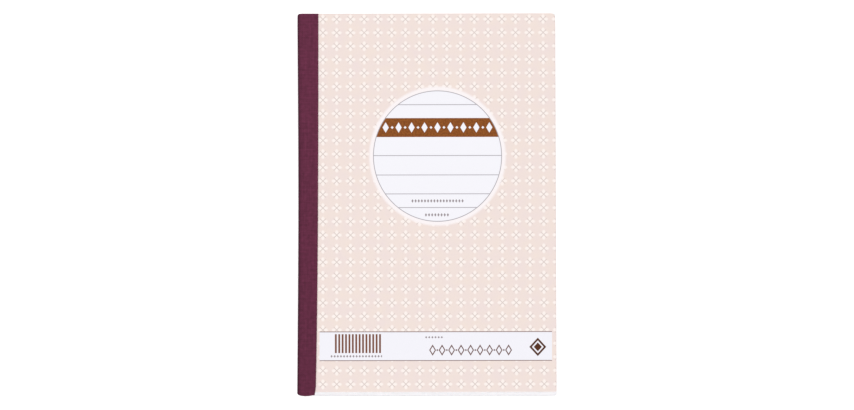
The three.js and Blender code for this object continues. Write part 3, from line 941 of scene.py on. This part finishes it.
creaseX = creaseStations(foldX, leafLook["creaseLength"], leafLook["creaseSteps"])
wholeBlank = leafBlank("wholeLeaf", [*spineStations, *creaseX, foreX])
copyOrder = ("top_copy", "second_copy", "third_copy")
leafBases = [name[:-len("_margin")] for name in sorted(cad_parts)
             if name.startswith("set") and name.endswith("_margin")]
for seed, base in enumerate(leafBases):
    low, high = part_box(base)
    copyName = next((copy for copy in copyOrder if base.endswith(copy)), None)
    copyNumber = copyOrder.index(copyName) if copyName else 2  # a packet ends in a third copy
    isTorn = base + "_stub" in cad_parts
    bentBody = base + "_stub" if isTorn else base
    if isTorn:
        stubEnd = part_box(base + "_stub")[1].x
        blank = leafBlank("stubLeaf", [*spineStations, *creaseX[:-1], stubEnd])
    else:
        blank = wholeBlank
    bent = makeLeaves(bentBody + "_leaf", blank, leafSpineX, low, high, copyNumber, seed)
    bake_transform(bent)
    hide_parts(bentBody, base + "_margin")
    if isTorn:
        sheetBlank = leafBlank("sheetLeaf", [low.x, 0.0, foreX])
        sheet = makeLeaves(base + "_leaf", sheetBlank, low.x, low, high, copyNumber, seed)
        addTies(sheet, low.x, low, high, leafPapers[copyNumber])
        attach(sheet, base)
        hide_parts(base)
print("leaves made:", len(leafBases), "leaf pieces")

# One strip of book cloth round the spine. Its spine side is drawn in a little at mid height, its
# front edge is cut slightly crooked, and the end past the foot hangs loose and is rubbed round.
clothShape = {
    "thickness": 0.3 * mm,
    "foldRadius": 0.75 * mm,
    "foldSteps": 7,
    "backSteps": 6,
    "sideSteps": 6,
    "frontSteps": 8,
    "frontSpread": 1.5,  # above 1, these steps are finest beside the fold
    "bow": 0.55 * mm,
    "bowPower": 1.2,
    "slantPower": 3.0,
    "frontTrim": 0.08 * mm,
    "cutWander": 0.032 * mm,
    "wanderKept": 0.55,  # share of the cut's wander that carries on to the next step
    "headGap": 0.15 * mm,
    "headCorner": 1.3 * mm,
    "headStepsMm": (0, 0.03, 0.1, 0.2, 0.35, 0.55, 0.85, 1.2),
    "footStepsMm": (4.2, 3.4, 2.7, 2.2, 1.9, 1.6, 1.3, 1.0, 0.75, 0.5, 0.3, 0.15, 0.05, 0),
    "step": 1.5 * mm,
    "footCorners": (0.6 * mm, 1.35 * mm),  # behind and in front
    "frontCornerEnd": 0.6,  # how far past the leaves the front one ends, as a share of the reach
    "footTaper": (4.5 * mm, 0.6 * mm),
    "footReach": 1.14,
    "footLowest": 0.4,  # where across its width the foot hangs lowest
    "footCurves": (0.33, 0.26),  # towards the spine and towards the front edge
    "footSlant": (3 * mm, 1 * mm),  # where it starts, and how short the back ends
    "footDroop": 0.6 * mm,
    "droopPower": 1.6,
    "foldDroop": 0.3,  # the front fold's share of the droop
    "foldShadeStrengths": (0.4, 1.0),  # how dark the painted shade on the folds is, at the back and in front
    "foldShadeBeside": (0.4, 0.3, 0.1),  # painted shade just before the front fold's dark part, and just after it
}
clothLow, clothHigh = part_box("spine_cloth")
clothHeadY = clothHigh.y - clothShape["headGap"]
clothPoints = [v.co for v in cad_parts["spine_cloth"].data.vertices]
clothFrontHeadX = max(p.x for p in clothPoints if p.y > headY - mm and p.z > clothHigh.z / 2)
clothFrontFootX = max(p.x for p in clothPoints if p.y < footY and p.z > clothHigh.z / 2)
clothBackX = max(p.x for p in clothPoints if p.z < clothHigh.z / 2)
# Where the spine's side and the front fold start among a section's pairs
firstSidePair = clothShape["backSteps"] + clothShape["foldSteps"] + 1
firstFrontFold = firstSidePair + clothShape["sideSteps"] - 1


def cornerInset(distance, radius):
    if distance >= radius:
        return 0
    return radius - math.sqrt(max(radius ** 2 - (radius - distance) ** 2, 0))


# The cloth's section at one height, as pairs of an outer and an inner point. Near the leaves'
# foot its cut end slants: past them in front, and short of them at the back.
def clothSection(y, wander=0):
    shape = clothShape
    down = (clothHigh.y - y) / (clothHigh.y - clothLow.y)
    bow = shape["bow"] * math.sin(math.pi * down) ** shape["bowPower"]
    headPinch = cornerInset(clothHeadY - y, shape["headCorner"])
    slantLength, backTrim = shape["footSlant"]
    slantY = footY + slantLength
    cut = max(slantY - y, 0) / (slantY - clothLow.y)
    reach = (footY - clothLow.y) * shape["footReach"]
    rooms = (slantLength - backTrim, slantLength + reach * shape["frontCornerEnd"])
    spineLow, spineHigh = (clothLow.x + bow + headPinch + cornerInset(room * (1 - cut), radius)
                           for room, radius in zip(rooms, shape["footCorners"]))
    slant = (clothFrontHeadX - clothFrontFootX) * down ** shape["slantPower"]
    taperLength, taperDepth = shape["footTaper"]
    taper = max(clothLow.y + taperLength - y, 0) / taperLength
    front = clothFrontHeadX + shape["frontTrim"] - slant + wander - taperDepth * taper
    past = max(footY - y, 0) / (footY - clothLow.y)
    droop = shape["footDroop"] * past ** shape["droopPower"]
    foldDroop = droop * shape["foldDroop"]
    radius, thick = shape["foldRadius"], shape["thickness"]
    low, high = clothLow.z, clothHigh.z
    lowestX = spineHigh + (front - spineHigh) * shape["footLowest"]

    def point(x, z):
        if not cut:
            return (x, min(y, clothHeadY), z)
        share = (z + droop - low) / (high - low)
        aside = min(abs(x - lowestX) / (front - spineHigh) * 2, 1)
        curve = shape["footCurves"][0 if x < lowestX else 1]
        endY = footY + backTrim * (1 - share) - reach * share * (1 - curve * aside ** 2)
        return (x, slantY + (endY - slantY) * cut, z)

    def foldPairs(centreX, centreZ, fromDegrees):
        pairs = []
        for i in range(shape["foldSteps"] + 1):
            turn = math.radians(fromDegrees - 90 * i / shape["foldSteps"])
            across, up = math.cos(turn), math.sin(turn)
            pairs.append([point(centreX + r * across, centreZ + r * up)
                          for r in (radius, radius - thick)])
        return pairs

    pairs = []
    for i in range(shape["backSteps"]):
        x = clothBackX + (spineLow + radius - clothBackX) * i / shape["backSteps"]
        pairs.append([point(x, low), point(x, low + thick)])
    pairs += foldPairs(spineLow + radius, low + radius, 270)
    for i in range(1, shape["sideSteps"]):
        x = spineLow + (spineHigh - spineLow) * i / shape["sideSteps"]
        z = low + radius + (high - low - 2 * radius) * i / shape["sideSteps"]
        pairs.append([point(x, z), point(x + thick, z)])
    pairs += foldPairs(spineHigh + radius, high - radius - foldDroop, 180)
    for i in range(1, shape["frontSteps"] + 1):
        share = (i / shape["frontSteps"]) ** shape["frontSpread"]
        x = spineHigh + radius + (front - spineHigh - radius) * share
        top = high - foldDroop - (droop - foldDroop) * math.sin(share * math.pi / 2)
        pairs.append([point(x, top), point(x, top - thick)])
    return pairs


# Heights of the sections, from the head down, closer together at both ends
def clothHeights():
    shape = clothShape
    headSteps = shape["headStepsMm"]
    firstY, lastY = clothHeadY - headSteps[-1] * mm, footY + shape["footSlant"][0]
    steps = round((firstY - lastY) / shape["step"])
    heights = [clothHeadY - d * mm for d in headSteps[:-1]]
    heights += [firstY + (lastY - firstY) * i / steps for i in range(steps + 1)]
    return heights + [clothLow.y + d * mm for d in shape["footStepsMm"]]


# How dark the painted shade on each pair's outer side is: most along the front fold
def foldShadeShares():
    shape = clothShape
    foldCount = shape["foldSteps"] + 1
    backShare, frontShare = shape["foldShadeStrengths"]
    before, *after = shape["foldShadeBeside"]
    shares = {shape["backSteps"] + i: backShare for i in range(foldCount)}
    shares.update({firstFrontFold + i: frontShare for i in range(foldCount)})
    shares[firstFrontFold] = before
    shares.update({firstFrontFold + foldCount + i: share for i, share in enumerate(after)})
    return shares


def makeClothMesh():
    shape = clothShape
    rng = random.Random(11)
    heights = clothHeights()
    wander = 0
    sections = []
    for y in heights:
        wander *= shape["wanderKept"]
        wander += (1 - shape["wanderKept"]) * rng.uniform(-1, 1) * shape["cutWander"]
        sections.append(clothSection(y, wander))
    pairCount = len(sections[0])
    middleSection = clothSection(0)
    lengths = [0]
    for before, after in zip(middleSection, middleSection[1:]):
        lengths.append(lengths[-1] + math.dist(before[0], after[0]))
    shares = foldShadeShares()
    points, mapped, paintedFoldShade = [], [], []
    for section in sections:
        for side in (0, 1):
            for k, pair in enumerate(section):
                points.append(pair[side])
                mapped.append((lengths[k] / mm + side * asideMm, pair[side][1] / mm))
                paintedFoldShade.append(shares.get(k, 0.0) if side == 0 else 0.0)

    def at(row, side, k):
        return (row * 2 + side) * pairCount + k

    faces = []
    for row in range(len(heights) - 1):
        for k in range(pairCount - 1):
            faces.append((at(row, 0, k), at(row, 0, k + 1), at(row + 1, 0, k + 1),
                          at(row + 1, 0, k)))
            faces.append((at(row, 1, k), at(row + 1, 1, k), at(row + 1, 1, k + 1),
                          at(row, 1, k + 1)))
        for k in (0, pairCount - 1):
            cut = (at(row, 0, k), at(row + 1, 0, k), at(row + 1, 1, k), at(row, 1, k))
            faces.append(cut if k == 0 else cut[::-1])
    for row in (0, len(heights) - 1):
        for k in range(pairCount - 1):
            end = (at(row, 0, k), at(row, 1, k), at(row, 1, k + 1), at(row, 0, k + 1))
            faces.append(end if row == 0 else end[::-1])
    mesh = bpy.data.meshes.new("spine_cloth_strip")
    mesh.from_pydata(points, [], faces)
    layer = mesh.uv_layers.new(name=printMap)
    for polygon in mesh.polygons:
        for corner, vertex in zip(polygon.loop_indices, polygon.vertices):
            layer.data[corner].uv = mapped[vertex]
    shade = mesh.attributes.new(foldShadeMap, "FLOAT", "POINT")
    shade.data.foreach_set("value", paintedFoldShade)
    finishMesh(mesh, sharpDegrees=50)
    frontEdge = [(Vector(section[-1][0]) + Vector(section[-1][1])) / 2 for section in sections]
    return mesh, frontEdge


clothMesh, clothFrontEdge = makeClothMesh()
clothPiece = addObject("spine_cloth_strip", clothMesh, bookCloth)
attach(clothPiece, "binding")
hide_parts("spine_cloth")

# Frayed threads along the cut front edge
fringeLook = {
    "count": 900,
    "shortest": 0.12 * mm,
    "longest": 0.42 * mm,
    "radius": 0.035 * mm,
    "turns": ((0, -0.06, -0.9), (0, 0.12, 0.9)),  # least and most
}


def buildFringeTree():
    tree, given = newTree("frayedThreads", "GeometryNodeTree", {
        "Cut edge": "Geometry", "Count": "Int", "Shortest": "Float", "Longest": "Float",
        "Radius": "Float", "Least turn": "Vector", "Most turn": "Vector", "Seed": "Int",
        "Cloth": "Material"}, "Threads", "Geometry")
    edge = addNode(tree, "GeometryNodeMeshToCurve", {"Mesh": given["Cut edge"]})
    spots = addNode(tree, "GeometryNodeCurveToPoints",
                    {"Curve": edge, "Count": given["Count"]}, mode="COUNT")
    thread = addNode(tree, "GeometryNodeMeshCone",
                     {"Vertices": 3, "Side Segments": 2, "Radius Top": 0.35,
                      "Radius Bottom": 1.0, "Depth": 1.0})
    laid = addNode(tree, "GeometryNodeTransform",
                   {"Geometry": thread.outputs[0], "Rotation": (0, math.pi / 2, 0)})
    length = addNode(tree, "FunctionNodeRandomValue",
                     {"Min": given["Shortest"], "Max": given["Longest"], "Seed": given["Seed"]},
                     data_type="FLOAT")
    scale = addNode(tree, "ShaderNodeCombineXYZ",
                    {0: length.outputs[1], 1: given["Radius"], 2: given["Radius"]})
    turn = addNode(tree, "FunctionNodeRandomValue",
                   {"Min": given["Least turn"], "Max": given["Most turn"],
                    "Seed": given["Seed"]}, data_type="FLOAT_VECTOR")
    rotation = addNode(tree, "FunctionNodeEulerToRotation", {0: turn.outputs[0]})
    threads = addNode(tree, "GeometryNodeInstanceOnPoints",
                      {"Points": spots, "Instance": laid, "Rotation": rotation, "Scale": scale})
    shape = addNode(tree, "GeometryNodeRealizeInstances", {"Geometry": threads})
    mapped = addNode(tree, "GeometryNodeStoreNamedAttribute",
                     {"Geometry": shape, "Name": printMap, "Value": (asideMm, 0, 0)},
                     data_type="FLOAT2", domain="CORNER")
    clothed = addNode(tree, "GeometryNodeSetMaterial",
                      {"Geometry": mapped, "Material": given["Cloth"]})
    addNode(tree, "NodeGroupOutput", {0: clothed})
    return tree


edgeMesh = bpy.data.meshes.new("clothFrontEdge")
edgeMesh.from_pydata(clothFrontEdge, [(i, i + 1) for i in range(len(clothFrontEdge) - 1)], [])
fringePiece = addObject("spine_cloth_threads", edgeMesh)
leastTurn, mostTurn = (Vector(turn) for turn in fringeLook["turns"])
setInputs(fringePiece, buildFringeTree(), {
    "Count": fringeLook["count"], "Shortest": fringeLook["shortest"],
    "Longest": fringeLook["longest"], "Radius": fringeLook["radius"],
    "Least turn": leastTurn, "Most turn": mostTurn, "Seed": 5, "Cloth": bookCloth})
settle(fringePiece)
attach(fringePiece, "binding")

# Spine glue: a film between the cut spine of the leaves and the cloth, thinner at mid height
glueLook = {"leafGap": 0.01 * mm, "clothGap": 0.01 * mm, "endRoom": 1.7 * mm, "steps": 40}
glueLow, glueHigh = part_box("spine_glue")


def makeGlueMesh():
    inner = leafSpineX - glueLook["leafGap"]
    bevel = clothShape["foldRadius"] - clothShape["thickness"]
    points, faces = [], []
    highY, lowY = headY - glueLook["endRoom"], footY + glueLook["endRoom"]
    for i in range(glueLook["steps"] + 1):
        y = highY + (lowY - highY) * i / glueLook["steps"]
        side = clothSection(y)[firstSidePair:firstFrontFold]
        outer = max(inside[0] for outside, inside in side) + glueLook["clothGap"]
        points += [(outer, y, glueLow.z + bevel), (outer, y, glueHigh.z - bevel),
                   (inner, y, glueHigh.z), (inner, y, glueLow.z)]
    last = glueLook["steps"] * 4
    for i in range(glueLook["steps"]):
        for k in range(4):
            a, b = i * 4 + k, i * 4 + (k + 1) % 4
            faces.append((a, b, b + 4, a + 4))
    faces += [(3, 2, 1, 0), (last, last + 1, last + 2, last + 3)]
    mesh = bpy.data.meshes.new("spine_glue_film")
    mesh.from_pydata(points, [], faces)
    finishMesh(mesh)
    return mesh


gluePiece = addObject("spine_glue_film", makeGlueMesh(), dryGlue)
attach(gluePiece, "binding")
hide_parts("spine_glue")

# Staples: round wire stitched through the margins, its ends turned in at the back
stapleLook = {
    "wireRadius": 0.35 * mm,
    "bendRadius": 0.9 * mm,
    "bendSteps": 8,
    "clinch": 4 * mm,
    "sides": 14,
}


def buildWireTree():
    tree, given = newTree("bentWire", "GeometryNodeTree", {
        "Wire path": "Geometry", "Wire radius": "Float", "Bend radius": "Float",
        "Bend steps": "Int", "Sides": "Int", "Metal": "Material"}, "Wire", "Geometry")
    path = addNode(tree, "GeometryNodeMeshToCurve", {"Mesh": given["Wire path"]})
    bends = addNode(tree, "GeometryNodeFilletCurve",
                    {"Curve": path, "Count": given["Bend steps"],
                     "Radius": given["Bend radius"]}, mode="POLY")
    ring = addNode(tree, "GeometryNodeCurvePrimitiveCircle",
                   {"Resolution": given["Sides"], "Radius": given["Wire radius"]}, mode="RADIUS")
    tube = addNode(tree, "GeometryNodeCurveToMesh",
                   {"Curve": bends, "Profile Curve": ring, "Fill Caps": True})
    metal = addNode(tree, "GeometryNodeSetMaterial",
                    {"Geometry": tube, "Material": given["Metal"]})
    addNode(tree, "NodeGroupOutput", {0: metal})
    return tree


wireTree = buildWireTree()
for name in sorted(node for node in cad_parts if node.startswith("staple_")):
    low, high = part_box(name)
    radius = stapleLook["wireRadius"]
    x = (low.x + high.x) / 2
    lowLeg, highLeg = low.y + radius, high.y - radius
    back, crown = low.z + radius, high.z - radius
    route = [(x, lowLeg + stapleLook["clinch"], back), (x, lowLeg, back), (x, lowLeg, crown),
             (x, highLeg, crown), (x, highLeg, back), (x, highLeg - stapleLook["clinch"], back)]
    pathMesh = bpy.data.meshes.new(name + "_path")
    pathMesh.from_pydata(route, [(i, i + 1) for i in range(len(route) - 1)], [])
    wirePiece = addObject(name + "_wire", pathMesh)
    setInputs(wirePiece, wireTree, {
        "Wire radius": radius, "Bend radius": stapleLook["bendRadius"],
        "Bend steps": stapleLook["bendSteps"], "Sides": stapleLook["sides"], "Metal": stitchWire})
    settle(wirePiece)
    finishMesh(wirePiece.data)
    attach(wirePiece, "binding")
    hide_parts(name)
print("spine made")

# The table is a lit white sheet, so the book's shadow on it stays faint
setLook = {
    "tableSize": 6.0,
    "tableDrop": 0.1 * mm,  # below the book, so that the faces don't fight
    "tableColour": "f4f4f4",
    "tableGlow": 0.45,
    "skyStrength": 0.6,
    "lampPower": 31.0,
    "lampSize": 2.4,
    "lampPlace": (-0.5, 0.6, 2.6),
    "fillPower": 22.5,
    "fillPlace": (0.3, -2.6, 0.75),
}
half, tableZ = setLook["tableSize"] / 2, -setLook["tableDrop"]
tableCorners = ((-half, -half), (half, -half), (half, half), (-half, half))
tableMesh = bpy.data.meshes.new("table_top")
tableMesh.from_pydata([(x, y, tableZ) for x, y in tableCorners], [], [(0, 1, 2, 3)])
tableMaterial = newMaterial(
    "litWhiteTable", Base_Color=linearColour(setLook["tableColour"]), Roughness=0.9,
    Specular_IOR_Level=0.0, Emission_Color=(1, 1, 1, 1),
    Emission_Strength=setLook["tableGlow"])[0]
table = addObject("table_top", tableMesh, tableMaterial)

world = bpy.data.worlds.new("studio")
bpy.context.scene.world = world
world.use_nodes = True
sky = world.node_tree.nodes["Background"]
sky.inputs["Color"].default_value = (1, 1, 1, 1)
sky.inputs["Strength"].default_value = setLook["skyStrength"]
for lampName, key in (("soft_box", "lamp"), ("front_fill", "fill")):
    lamp = bpy.data.lights.new(lampName, "AREA")
    lamp.shape = "SQUARE"
    lamp.size = setLook["lampSize"]
    lamp.energy = setLook[key + "Power"]
    lampObject = bpy.data.objects.new(lampName, lamp)
    lampObject.location = setLook[key + "Place"]
    aim = -Vector(setLook[key + "Place"])
    lampObject.rotation_euler = aim.to_track_quat("-Z", "Y").to_euler()
    bpy.context.scene.collection.objects.link(lampObject)
bpy.context.scene.view_settings.view_transform = "Standard"
bpy.context.scene.view_settings.look = "None"

# A long lens almost straight above the cover, found from the outline's corners
cameraLook = {
    "distance": 7.0,
    "elevation": 78.4765,
    "roll": -0.0917,
    "lens": 542.87,
    "sensorWidth": 36,
    "clip": (0.1, 50),
    "aim": (0.18 * mm, -0.681 * mm, 12.23 * mm),
}
camera = bpy.data.cameras.new("camera")
camera.sensor_width = cameraLook["sensorWidth"]
camera.lens = cameraLook["lens"]
camera.clip_start, camera.clip_end = cameraLook["clip"]
cameraObject = bpy.data.objects.new("camera", camera)
bpy.context.scene.collection.objects.link(cameraObject)
tilt, roll = math.radians(cameraLook["elevation"]), math.radians(cameraLook["roll"])
back = Vector((0, -math.cos(tilt), math.sin(tilt)))
level = Vector((0, math.sin(tilt), math.cos(tilt)))
right = math.cos(roll) * Vector((1, 0, 0)) + math.sin(roll) * level
upward = back.cross(right)
turn = Matrix((right, upward, back)).transposed().to_4x4()
cameraObject.matrix_world = Matrix.Translation(
    Vector(cameraLook["aim"]) + back * cameraLook["distance"]) @ turn
bpy.context.scene.camera = cameraObject
print("table, light and camera set")
